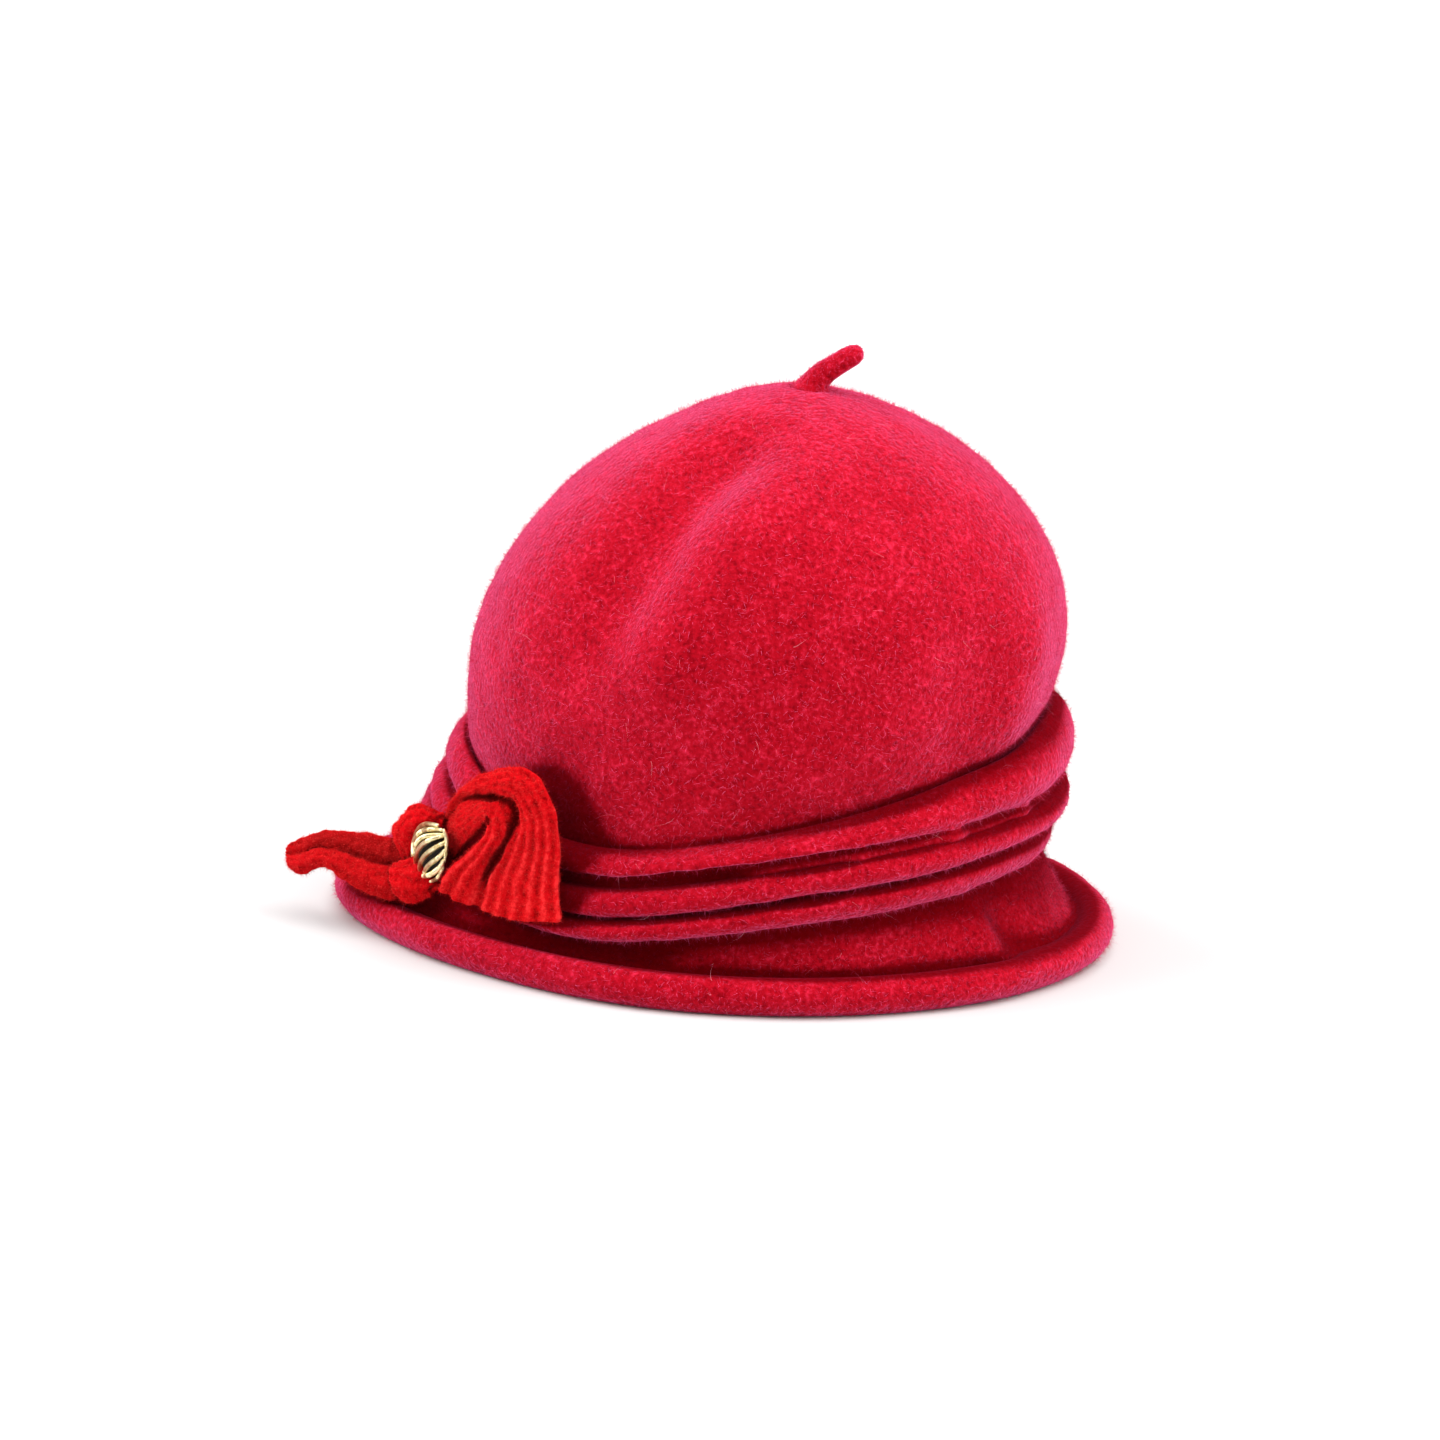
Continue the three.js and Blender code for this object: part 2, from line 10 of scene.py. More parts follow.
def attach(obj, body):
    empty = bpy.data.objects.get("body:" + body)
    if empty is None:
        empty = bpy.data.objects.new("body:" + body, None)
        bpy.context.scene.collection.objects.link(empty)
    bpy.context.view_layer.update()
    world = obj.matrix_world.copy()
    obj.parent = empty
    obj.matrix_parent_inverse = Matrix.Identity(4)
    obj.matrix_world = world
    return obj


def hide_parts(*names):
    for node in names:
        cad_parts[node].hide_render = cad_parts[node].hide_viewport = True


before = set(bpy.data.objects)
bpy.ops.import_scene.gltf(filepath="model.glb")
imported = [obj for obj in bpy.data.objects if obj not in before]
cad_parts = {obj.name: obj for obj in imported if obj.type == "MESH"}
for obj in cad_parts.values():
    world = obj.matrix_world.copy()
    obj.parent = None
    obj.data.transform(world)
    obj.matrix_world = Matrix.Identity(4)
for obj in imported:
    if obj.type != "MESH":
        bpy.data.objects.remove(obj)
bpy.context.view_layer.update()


# ---- Felt body ----
# The hat is one body of boiled wool felt, about 3 mm thick in the crown, blocked by hand into a
# slouched shape. Three tucks are gathered and stitched round the crown's foot, and the brim's
# edge is rolled into a bead.

MM = 0.001
BACK, UP = Vector((0, 1, 0)), Vector((0, 0, 1))


class Wire:
    """A node's output, on which shader maths is written as a Python expression."""

    def __init__(self, finish, socket):
        self.finish = finish
        self.socket = socket

    def maths(self, operation, a, b):
        return self.finish.node("ShaderNodeMath", {"operation": operation}, {0: a, 1: b})

    def __add__(self, other):
        return self.maths("ADD", self, other)

    def __radd__(self, other):
        return self.maths("ADD", other, self)

    def __sub__(self, other):
        return self.maths("SUBTRACT", self, other)

    def __rsub__(self, other):
        return self.maths("SUBTRACT", other, self)

    def __mul__(self, other):
        return self.maths("MULTIPLY", self, other)

    def __rmul__(self, other):
        return self.maths("MULTIPLY", other, self)


class Finish:
    """A material. The values given go straight to the sockets of its Principled shader."""

    def __init__(self, name, **sockets):
        self.material = bpy.data.materials.new(name)
        self.material.use_nodes = True
        self.tree = self.material.node_tree
        self.shader = self.tree.nodes["Principled BSDF"]
        self.feed(self.shader, {key.replace("_", " "): sockets[key] for key in sockets})

    def feed(self, node, sockets):
        for key, value in sockets.items():
            if isinstance(value, Wire):
                self.tree.links.new(value.socket, node.inputs[key])
            else:
                node.inputs[key].default_value = value

    def node(self, kind, settings, sockets, output=0):
        node = self.tree.nodes.new(kind)
        for key, value in settings.items():
            setattr(node, key, value)
        self.feed(node, sockets)
        return Wire(self, node.outputs[output])

    def place(self):
        return self.node("ShaderNodeTexCoord", {}, {}, "Object")

    def cloud(self, scale, detail=2.0, roughness=0.5):
        """Noise from 0 to 1, with this many lumps to the metre."""
        sockets = {"Vector": self.place(), "Scale": scale, "Detail": detail}
        return self.node("ShaderNodeTexNoise", {}, {**sockets, "Roughness": roughness})

    def between(self, value, low, high):
        """0 where the value is below low, 1 where it is above high, and smooth between."""
        settings = {"interpolation_type": "SMOOTHSTEP"}
        sockets = {"Value": value, "From Min": low, "From Max": high}
        return self.node("ShaderNodeMapRange", settings, sockets)

    def mixed(self, factor, a, b):
        """Colour a, and more and more of colour b as the factor goes to 1."""
        # the Mix node's sockets for colours are its inputs 6 and 7 and its output 2
        return self.node("ShaderNodeMix", {"data_type": "RGBA"}, {0: factor, 6: a, 7: b}, 2)

    def stored(self, name):
        """A number that the mesh keeps at each of its points."""
        return self.node("ShaderNodeAttribute", {"attribute_name": name}, {}, "Fac")

    def raised(self, height, depth):
        """The shader's normal, as if the surface stood this far out, in metres."""
        sockets = {"Height": height, "Distance": depth, "Strength": 1.0}
        self.feed(self.shader, {"Normal": self.node("ShaderNodeBump", {}, sockets)})


FELT_BLOOM = (1.0, 0.19, 0.48, 1.0)
# the felt's colour in painted shade, deep in the folds
SHADED_FELT = (0.11, 0.0003, 0.0015, 1.0)


def felted(name, deep, middle, light, shading):
    """Boiled wool: curled fibres with deep pits between them, and a bloom at the edges.

    In the folds the wool has its shading colour and no bloom: painted shade, where less light
    reaches.
    """
    felt = Finish(
        name,
        Sheen_Weight=1.0,
        Sheen_Roughness=0.4,
        Sheen_Tint=FELT_BLOOM,
        Specular_IOR_Level=0.0,
        Roughness=0.95,
    )
    curls = felt.cloud(640, 3, 0.6)
    pits = felt.node("ShaderNodeTexVoronoi", {}, {"Vector": felt.place(), "Scale": 520.0})
    patches = felt.cloud(60, 2)
    pebbles = felt.cloud(1300, 2)
    grain = curls * 0.75 + pits * 0.25 + patches * 0.25 - 0.08
    colour = felt.mixed(felt.between(grain, 0.3, 0.58), deep, middle)
    colour = felt.mixed(felt.between(grain, 0.55, 0.85), colour, light)
    felt.feed(felt.shader, {"Base Color": colour})
    felt.raised(curls + pits * 0.4 + pebbles * 0.3, 0.7 * MM)
    # painted shade: where the folds close off light, the colour goes to the shading colour and the
    # sheen is left out
    painted_fold_shade = felt.stored("painted_fold_shade")
    sockets = {"Roughness": 0.95, "Specular IOR Level": 0.0}
    sockets["Base Color"] = felt.mixed(painted_fold_shade, colour, shading)
    shaded_felt = felt.node("ShaderNodeBsdfPrincipled", {}, sockets)
    felt_out_of_shade = Wire(felt, felt.shader.outputs[0])
    both = felt.node("ShaderNodeMixShader", {}, {0: painted_fold_shade, 1: felt_out_of_shade, 2: shaded_felt})
    felt.feed(felt.tree.nodes["Material Output"], {"Surface": both})
    return felt.material


wool_felt = felted(
    "boiled_wool",
    deep=(0.27, 0.0009, 0.004, 1.0),
    middle=(0.46, 0.003, 0.011, 1.0),
    light=(0.78, 0.02, 0.06, 1.0),
    shading=SHADED_FELT,
)


def piece(name, bm, material, slot, *nodes):
    """Makes the mesh a piece that rides on the hat, in place of the CAD nodes named."""
    mesh = bpy.data.meshes.new(name)
    bm.to_mesh(mesh)
    bm.free()
    mesh.shade_smooth()
    mesh.materials.append(material)
    made = bpy.data.objects.new(name, mesh)
    bpy.context.scene.collection.objects.link(made)
    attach(made, "root")
    if nodes:
        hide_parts(*nodes)
    return made


def rounded(made, levels):
    """Subdivides the piece and keeps the result as its mesh."""
    modifier = made.modifiers.new("rounding", "SUBSURF")
    modifier.levels = modifier.render_levels = levels
    shown = made.evaluated_get(bpy.context.evaluated_depsgraph_get())
    smooth = bpy.data.meshes.new_from_object(shown)
    made.modifiers.clear()
    made.data = smooth
    return made


HEART = Vector((0, 0.012, 0.075))  # the middle of the hat's hollow
FOOT_FADE = 4 * MM
TURN_FADE = 3


def handled(made, forms, foot):
    """Pushes the surface in and out in soft lumps, each form a depth and a size in metres.

    Faces turned to the hat's heart stay as they are, so that the wall isn't thinned from both
    sides. So does what lies below the foot's height, because the hat rests there, and the lumps
    grow to their full depth over the next few millimetres.
    """
    normals = [vertex.normal.copy() for vertex in made.data.vertices]
    for vertex, normal in zip(made.data.vertices, normals):
        turned = normal.dot((vertex.co - HEART).normalized())
        free = min(1.0, max(0.0, (vertex.co.z - foot) / FOOT_FADE))
        outer = min(1.0, max(0.0, 1 + TURN_FADE * turned))
        lump = sum(depth * noise.noise(vertex.co / size) for depth, size in forms)
        vertex.co += normal * lump * free * outer
    made.data.update()


# The blocked shape is the felt node's own, with its facets rounded off and its seams kept tight.
SEAM_ANGLE = math.radians(-30)
SEAM_TIGHTNESS = 0.55
QUAD_ANGLE = math.radians(60)

bm = bmesh.new()
bm.from_mesh(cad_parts["felt_body"].data)
bmesh.ops.remove_doubles(bm, verts=bm.verts, dist=0.001 * MM)
bmesh.ops.join_triangles(
    bm,
    faces=bm.faces,
    angle_face_threshold=QUAD_ANGLE,
    angle_shape_threshold=QUAD_ANGLE,
)
tight = bm.edges.layers.float.new("crease_edge")
for edge in bm.edges:
    if edge.is_manifold and edge.calc_face_angle_signed() < SEAM_ANGLE:
        edge[tight] = SEAM_TIGHTNESS
felt_hat = rounded(piece("felt_hat", bm, wool_felt, "wool_felt", "felt_body"), 2)
handled(felt_hat, [(1.1 * MM, 38 * MM), (0.5 * MM, 10 * MM), (0.25 * MM, 3.5 * MM)], 1 * MM)

BY_HAND = [
    # from x, y, z, to x, y, z, width and how far out, in millimetres. First a buckle of the wall
    # and the hollow behind it, then the felt that fills the seam under the upper tuck.
    ((61, 88, 24), (58, 96, 10), 6.0, 3.0),
    ((51, 99, 20), (46, 104, 12), 7.0, -2.0),
    ((92, 14, 46.8), (86.5, 48, 53.1), 3.0, 2.5),
    ((86.5, 48, 53.1), (70.5, 78, 56.5), 3.8, 3.8),
    ((70.5, 78, 56.5), (46, 100, 58.5), 3.8, 3.8),
    ((46, 100, 58.5), (16, 112, 59.4), 3.8, 3.8),
]
for start, end, width, out in BY_HAND:
    start, end = Vector(start) * MM, Vector(end) * MM
    for vertex in felt_hat.data.vertices:
        along = (vertex.co - start).dot(end - start) / (end - start).length_squared
        nearest = start.lerp(end, min(1.0, max(0.0, along)))
        share = math.exp(-(((vertex.co - nearest).length / (width * MM)) ** 2))
        vertex.co += Vector((vertex.co.x, vertex.co.y, 0)).normalized() * out * MM * share
felt_hat.data.update()


# ---- Crown stalk ----
# A short cord of the same felt, pulled out of the crown's top while it is wet, so that its foot
# spreads into the crown. It leans to the back, and its end is rounded and a little fluffy.


def sweep(bm, points, radii, sides):
    """A round cord through the points, grown ring by ring from a disc and closed at both ends."""
    turn = (points[1] - points[0]).to_track_quat("Z", "Y")
    disc = bmesh.ops.create_circle(
        bm,
        cap_ends=True,
        segments=sides,
        radius=radii[0],
        matrix=Matrix.Translation(points[0]) @ turn.to_matrix().to_4x4(),
    )
    face = disc["verts"][0].link_faces[0]
    heading = (points[1] - points[0]).normalized()
    for i in range(1, len(points)):
        after = points[min(i + 1, len(points) - 1)]
        onward = (after - points[i - 1]).normalized()
        grown = bmesh.ops.extrude_face_region(bm, geom=[face])["geom"]
        ring = [g for g in grown if isinstance(g, bmesh.types.BMVert)]
        face = next(g for g in grown if isinstance(g, bmesh.types.BMFace))
        step = (
            Matrix.Translation(points[i])
            @ heading.rotation_difference(onward).to_matrix().to_4x4()
            @ Matrix.Scale(radii[i] / radii[i - 1], 4)
            @ Matrix.Translation(-points[i - 1])
        )
        bmesh.ops.transform(bm, matrix=step, verts=ring)
        heading = onward


STALK = [
    # y, z, radius of the cord there, in millimetres, on the middle plane x = 0
    (25.6, 180.6, 9.5),
    (26.2, 183.8, 7.6),
    (27.0, 186.4, 5.6),
    (28.2, 188.8, 4.5),
    (30.7, 191.3, 4.1),
    (33.8, 193.7, 4.0),
    (36.9, 195.8, 3.9),
    (39.5, 197.3, 3.6),
    (41.3, 198.2, 2.7),
    (42.3, 198.6, 1.2),
]
bm = bmesh.new()
course = [Vector((0, y, z)) * MM for y, z, radius in STALK]
sweep(bm, course, [radius * MM for y, z, radius in STALK], 12)
bmesh.ops.recalc_face_normals(bm, faces=bm.faces)
stalk = rounded(piece("stalk", bm, wool_felt, "wool_felt", "crown_stalk"), 2)
handled(stalk, [(0.35 * MM, 9 * MM), (0.1 * MM, 2.5 * MM)], 0)


# ---- Ribbon bow ----
# The bow is one length of ribbed chenille ribbon, 2 mm thick, pinched under the button.
# Towards the back it turns over on itself and fans out to its cut hem. Towards the front it
# makes a small upright loop, a puffed fold and a tail.

RIBBON_THICKNESS = 2.0 * MM
RIB_HEIGHT = 0.9
RIB_WANDER = 0.16
RIBBON_LUMPS = [(0.9, 7 * MM), (0.8, 2 * MM)]  # how deep, in millimetres, and how wide
# the ribbon's colour in painted shade, deep in the folds
SHADED_RIBBON = (0.1, 0.0003, 0.0006, 1.0)


def chenille(name, deep, middle, light, wrong_side, shading):
    """Ribbed pile: tufts, painted highlight on the ribs and shade between, and a dull wrong side.
    """
    pile = Finish(
        name,
        Sheen_Weight=0.4,
        Sheen_Roughness=0.5,
        Sheen_Tint=(1.0, 0.05, 0.06, 1.0),
        Specular_IOR_Level=0.0,
        Roughness=0.9,
    )
    tufts = pile.cloud(620, 4, 0.65)
    # the ribs' crests are painted lighter and the grooves darker: painted highlight and painted
    # shade
    crown = pile.stored("crown_of_rib")
    worn = pile.cloud(160, 2)
    tone = crown * 0.45 + tufts * 1.1 + worn * 0.35 - 0.48
    colour = pile.mixed(pile.between(tone, 0.02, 0.45), deep, middle)
    colour = pile.mixed(pile.between(tone, 0.45, 0.85), colour, light)
    colour = pile.mixed(pile.stored("wrong_side"), colour, wrong_side)
    # painted shade in the folds
    colour = pile.mixed(pile.stored("painted_fold_shade"), colour, shading)
    pile.feed(pile.shader, {"Base Color": colour})
    pile.raised(tufts, 1.1 * MM)
    return pile.material


ribbon_pile = chenille(
    "ribbed_chenille",
    deep=(0.33, 0.0007, 0.0022, 1.0),
    middle=(0.7, 0.0045, 0.0085, 1.0),
    light=(1.0, 0.035, 0.038, 1.0),
    wrong_side=(0.3, 0.006, 0.006, 1.0),
    shading=SHADED_RIBBON,
)


def smooth_rows(rows, t):
    """The row of numbers at t, from 0 at the first row to 1 at the last, on a smooth curve."""
    at = min(t, 0.99999) * (len(rows) - 1)
    i = int(at)
    p = [np.array(rows[min(max(i + k, 0), len(rows) - 1)], float) for k in (-1, 0, 1, 2)]
    f = at - i
    return p[1] + 0.5 * f * (
        p[2] - p[0]
        + f * (2 * p[0] - 5 * p[1] + 4 * p[2] - p[3] + f * (3 * (p[1] - p[2]) + p[3] - p[0]))
    )


def ribbon(name, rows, lift, ribs, fine, wrong_side, *nodes):
    """A stretch of the ribbon between its two edges.

    Each row has the two edges' places in millimetres, how far its middle runs ahead of them
    and then the numbers that lift takes. lift gives how far the ribbon stands out at s across
    it and t along it, in millimetres, and how high its ribs are there, from 0 to 1. ribs is how
    many there are, fine is how many points there are across and along, and wrong_side says how
    much of the ribbon's back shows at s and t.
    """
    bm = bmesh.new()
    across, along = fine
    bmesh.ops.create_grid(bm, x_segments=across, y_segments=along, size=0.5, calc_uvs=True)
    crown = bm.verts.layers.float.new("crown_of_rib")
    wrong = bm.verts.layers.float.new("wrong_side")
    places = {}
    for vertex in bm.verts:
        s, t = vertex.co.x + 0.5, vertex.co.y + 0.5
        row = smooth_rows(rows, t)
        onward = Vector(smooth_rows(rows, min(t + 0.02, 1.0))[:6] - smooth_rows(rows, t - 0.02)[:6])
        places[vertex] = (s, t, row)
        ahead = Vector(onward[:3]).lerp(Vector(onward[3:6]), s).normalized() * row[6]
        middle = Vector(row[:3]).lerp(Vector(row[3:6]), s)
        vertex.co = (middle + ahead * math.sin(math.pi * s)) * MM
    bm.normal_update()
    facing = Vector((1, -1, 0))  # the bow's outer side
    if sum(vertex.normal.dot(facing) for vertex in bm.verts) < 0:
        bmesh.ops.reverse_faces(bm, faces=bm.faces)
        bm.normal_update()
    ribbed = {}
    for vertex, (s, t, row) in places.items():
        out, ribbed[vertex] = lift(s, t, *row[7:])
        vertex.co += vertex.normal * out * MM
    bm.normal_update()
    for vertex, (s, t, row) in places.items():
        wander = RIB_WANDER * noise.noise(Vector((3 * s, 5 * t, 0)))
        ridge = 0.5 + 0.5 * math.cos(2 * math.pi * ribs * (s + wander / ribs))
        lump = sum(noise.noise(vertex.co / size) * depth for depth, size in RIBBON_LUMPS)
        vertex[crown] = ridge * ribbed[vertex]
        vertex[wrong] = wrong_side(s, t)
        vertex.co += vertex.normal * (RIB_HEIGHT * ridge * ribbed[vertex] + lump) * MM
    made = piece(name, bm, ribbon_pile, "ribbed_ribbon", *nodes)
    made.modifiers.new("thickness", "SOLIDIFY").thickness = RIBBON_THICKNESS
    return rounded(made, 1)


def hump(x, power=0.6):
    """A rounded rise from 0 to 1 and back as x goes from 0 to 1."""
    return max(0.0, math.sin(math.pi * min(max(x, 0.0), 1.0))) ** power


def front_only(s, t):
    """None of the ribbon's back shows."""
    return 0.0


CREASE_WIDTH = 0.055
SECOND_CREASE = {"after": 0.17, "width": 0.05}


def fan_lift(s, t, crease, depth, outer, inner, second):
    """The fan's outer turn, a crease, and its inner turn with a shallow second crease.

    The ribs are low at the button, and they stand up towards the hem.
    """
    past = s - crease - SECOND_CREASE["after"]
    groove = depth * math.exp(-(((s - crease) / CREASE_WIDTH) ** 2))
    dent = second * math.exp(-((past / SECOND_CREASE["width"]) ** 2))
    if s < crease:
        stand = outer * hump(s / crease, 0.5)
    else:
        stand = inner * hump((s - crease) / (1 - crease), 0.45)
    return stand - groove - dent, min(1.0, max(0.3, 2.2 * t - 0.6))


FAN = [
    # outer edge x, y, z; inner edge x, y, z; how far the middle runs ahead; where the crease
    # runs and how deep; how far its outer and inner side stand out; how deep a second crease is
    (39, -87, 42, 44, -84, 28, 0, 0.20, 0.0, 1.0, 1.0, 0.0),
    (51, -82, 55, 54.5, -80, 36, 0, 0.22, 0.5, 2.0, 2.5, 0.0),
    (60, -77, 62, 61, -76.5, 42, 0, 0.27, 2.0, 3.0, 3.5, 0.0),
    (68, -70, 68, 68, -73, 48, 0, 0.45, 3.5, 3.0, 3.5, 0.0),
    (76, -61, 72, 71, -71.5, 50.5, 0, 0.55, 3.5, 3.0, 3.5, 0.0),
    (81, -54.5, 70, 72, -70.5, 51, 0, 0.54, 3.5, 3.0, 3.5, 0.0),
    (84, -50, 62.5, 73, -70.5, 50, 0, 0.58, 3.5, 2.5, 3.5, 0.0),
    (85, -48, 56, 73.5, -71.5, 48, 0, 0.64, 3.5, 2.0, 3.0, 0.0),
    (86, -47, 46, 70.5, -76, 42.5, 1, 0.68, 3.0, 1.5, 3.0, 0.5),
    (87, -47, 37, 63.5, -82, 34.5, 2, 0.68, 2.0, 1.2, 2.5, 1.0),
    (89, -46, 31, 59, -85.5, 28, 3, 0.68, 1.2, 1.0, 2.0, 1.0),
    (90, -46, 25, 55.5, -87.5, 23, 4, 0.68, 0.8, 1.0, 1.6, 0.8),
]
fan = ribbon("bow_fan_ribbon", FAN, fan_lift, 8.5, (60, 70), front_only, "bow_fan")

TAIL_CREASE = 0.45


def tail_lift(s, t, puff):
    """A flat flap above, and below a crease the puffed fold that lies over it."""
    flap = 0.5 * puff * hump(s / TAIL_CREASE, 0.7)
    fold = 1.0 + puff * hump((s - TAIL_CREASE) / (1 - TAIL_CREASE))
    return (flap if s < TAIL_CREASE else fold) * min(1.0, 5 * t), 0.35


def tail_back(s, t):
    """The flap shows the ribbon's back, and the fold below it shows a little of it."""
    if s < 0.5:
        return 0.85 * hump(s / 0.5, 0.35) * min(1.0, t * 2.5)
    return 0.35 * hump(t, 0.3)


TAIL = [
    # upper edge x, y, z; lower edge x, y, z; ahead; how far it puffs out
    (19, -141.0, 21.5, 20, -140.6, 18.0, 0, 0.5),
    (19.5, -139.5, 24.0, 22, -138.5, 16.2, 0, 1.5),
    (20.5, -136, 26.5, 26, -133, 15.8, 0, 2.5),
    (23, -128, 29.5, 30, -127, 19.0, 0, 3),
    (26, -119, 31.0, 34, -120, 17.0, 0, 3),
    (30, -110.5, 32, 38, -111, 13.8, 0, 4),
    (34, -102.5, 32.5, 42, -102, 13.0, 0, 4),
    (39, -93.5, 33, 46, -92, 17.0, 0, 3),
]
tail = ribbon("bow_tail_ribbon", TAIL, tail_lift, 4, (40, 72), tail_back, "bow_tail")


def puffed(s, t, puff):
    """A roll of the ribbon, fullest along its middle."""
    return puff * hump(s, 0.7), 0.45


LOOP = [
    # outer edge x, y, z; inner edge x, y, z; ahead; how far it puffs out
    (37, -101, 27, 43, -93, 28, 0, 2),
    (35.5, -104, 36, 43, -96, 34, 0, 3),
    (36, -100, 43, 43, -94, 37.5, 0, 3.5),
    (37.5, -93, 45, 43, -91, 38.5, 0, 3),
    (41, -86, 43.5, 45, -87.5, 36.5, 0, 2),
]
loop = ribbon("bow_loop_ribbon", LOOP, puffed, 3, (32, 56), front_only, "bow_loop")

FOLD = [
    # upper edge x, y, z; lower edge x, y, z; ahead; how far it puffs out
    (40, -104, 24, 44, -103.5, 21, 0, 1),
    (43, -101, 27.5, 47, -101.5, 17.0, 0, 3.5),
    (46, -96, 30, 50, -96.5, 15.5, 0, 4.5),
    (48.5, -91, 31, 52, -91, 17.5, 0, 4),
    (50, -87, 31, 53, -87, 22, 0, 2),
]
fold = ribbon("bow_fold_ribbon", FOLD, puffed, 3, (40, 48), front_only, "bow_fold")


# ---- Knot button ----
# A cast metal button in the shape of a rope knot: ten strands that sweep across its domed face
# from the rim and dive in again at the other side. It is gilt, and its hollows are dark.

# where its middle is, which way it faces, and its sizes, in millimetres and degrees. The dark
# core lies this far under the face and is this much smaller, and the strands are sunk in it.
BUTTON = {
    "at": (50, -89.8, 33.8), "turn": 34, "lean": 9, "radius": 9.6, "dome": 4.2, "fall": 0.85,
    "core_under": 0.6, "core_reach": 0.94, "back": 0.2, "strand_sunk": 0.3, "strand_steps": 16,
}

gilt = Finish("gilt", Metallic=1.0, Roughness=0.3)
wear = gilt.cloud(420, 3, 0.6)
gold = gilt.mixed(gilt.between(wear, 0.3, 0.6), (0.62, 0.45, 0.18, 1.0), (0.97, 0.86, 0.52, 1.0))
gilt.feed(gilt.shader, {"Base Color": gold, "Roughness": 0.25 + wear * 0.25})
gilt.raised(wear, 0.12 * MM)
bronze = Finish("dark_hollow", Base_Color=(0.012, 0.007, 0.005, 1.0), Metallic=0.3)
bronze.feed(bronze.shader, {"Roughness": 0.5 + bronze.cloud(500, 2) * 0.3})

button_place = (
    Matrix.Translation(Vector(BUTTON["at"]) * MM)
    @ Matrix.Rotation(math.radians(BUTTON["turn"]), 4, "Z")
    @ Matrix.Rotation(math.radians(90 - BUTTON["lean"]), 4, "X")
)


def dome_height(out):
    """How high the face stands in millimetres, this far out from its middle in radii."""
    return BUTTON["dome"] * math.sqrt(max(0.0, 1 - BUTTON["fall"] * out * out))


bm = bmesh.new()
bmesh.ops.create_uvsphere(bm, u_segments=32, v_segments=16, radius=1.0)
for vertex in bm.verts:
    out = math.hypot(vertex.co.x, vertex.co.y)
    rise = dome_height(out) - BUTTON["core_under"] if vertex.co.z > 0 else BUTTON["back"]
    reach = BUTTON["core_reach"] * BUTTON["radius"]
    vertex.co = Vector((vertex.co.x * reach, vertex.co.y * reach, rise)) * MM
bmesh.ops.remove_doubles(bm, verts=bm.verts, dist=0.01 * MM)
bmesh.ops.transform(bm, matrix=button_place, verts=bm.verts)
piece("button_back", bm, bronze.material, "gilt_metal", "knot_button")

STRANDS = [
    # a strand's course over the face: four places, right and up, as parts of the radius; then
    # how thick it is and how high it arches, in millimetres
    (((0.30, 0.98), (-0.55, 0.74), (-0.97, 0.05), (-0.45, -0.92)), 2.1, 0.4),
    (((0.58, 0.90), (-0.25, 0.64), (-0.70, 0.08), (-0.62, -0.46)), 2.0, 0.7),
    (((0.74, 0.78), (0.05, 0.52), (-0.40, 0.14), (-0.50, -0.30)), 1.9, 0.8),
    (((0.86, 0.80), (0.40, 0.50), (-0.10, 0.00), (-0.42, -0.66)), 1.9, 1.3),
    (((0.96, 0.62), (0.66, 0.24), (0.22, -0.26), (-0.12, -0.80)), 1.9, 1.4),
    (((1.02, 0.36), (0.88, -0.02), (0.52, -0.40), (0.16, -0.78)), 1.8, 1.2),
    (((1.02, 0.00), (0.92, -0.34), (0.50, -0.72), (-0.22, -0.96)), 2.0, 0.7),
    (((0.62, 0.94), (0.90, 0.74), (1.04, 0.36), (1.04, -0.10)), 1.5, 0.2),
    (((1.00, -0.18), (0.98, -0.44), (0.76, -0.78), (0.36, -1.00)), 1.5, 0.2),
    (((-0.98, -0.20), (-0.90, -0.52), (-0.66, -0.80), (-0.30, -1.00)), 1.6, 0.1),
]
bm = bmesh.new()
for places, thick, arch in STRANDS:
    path, radii = [], []
    for step in range(BUTTON["strand_steps"] + 1):
        along = step / BUTTON["strand_steps"]
        right, up = smooth_rows(places, along)
        face = dome_height(min(1.0, math.hypot(right, up)))
        height = face + arch * hump(along) - BUTTON["strand_sunk"]
        path.append(Vector((right * BUTTON["radius"], up * BUTTON["radius"], height)) * MM)
        radii.append(0.5 * thick * (0.55 + 0.45 * hump(along)) * MM)
    sweep(bm, path, radii, 8)
bmesh.ops.recalc_face_normals(bm, faces=bm.faces)
bmesh.ops.transform(bm, matrix=button_place, verts=bm.verts)
piece("button_strands", bm, gilt.material, "gilt_metal")


# ---- Nap ----
# Boiled wool and chenille both have a nap: short fibres that stand off the surface all over
# and a few long loose hairs that catch the light. In the folds, cloth and hairs alike are
# painted darker as painted shade.


def search_tree(pieces):
    """The pieces' faces, ready for rays and nearest points."""
    points, faces = [], []
    for part in pieces:
        mesh = part.data
        faces += [[len(points) + k for k in polygon.vertices] for polygon in mesh.polygons]
        points += [vertex.co for vertex in mesh.vertices]
    return BVHTree.FromPolygons(points, faces)


# A point has no painted shade up to this share of rays closed off, and the fullest painted
# shade this much further on.
OPEN_SHARE, DEEP_AFTER, DEEPEST = 0.15, 0.25, 0.92
RAY_START = 0.5 * MM  # so far off the surface
MEAN_LENGTH = 1.02  # over 1, so that no ray added to the mean leaves nothing
SMOOTHINGS = 3
# The painted shadow that the sewn-on ribbon casts on the felt: how far it reaches and how strong.
RIBBON_SHADOW_WIDTH = 6 * MM  # of the felt beside the ribbon
RIBBON_SHADOW = 1.25


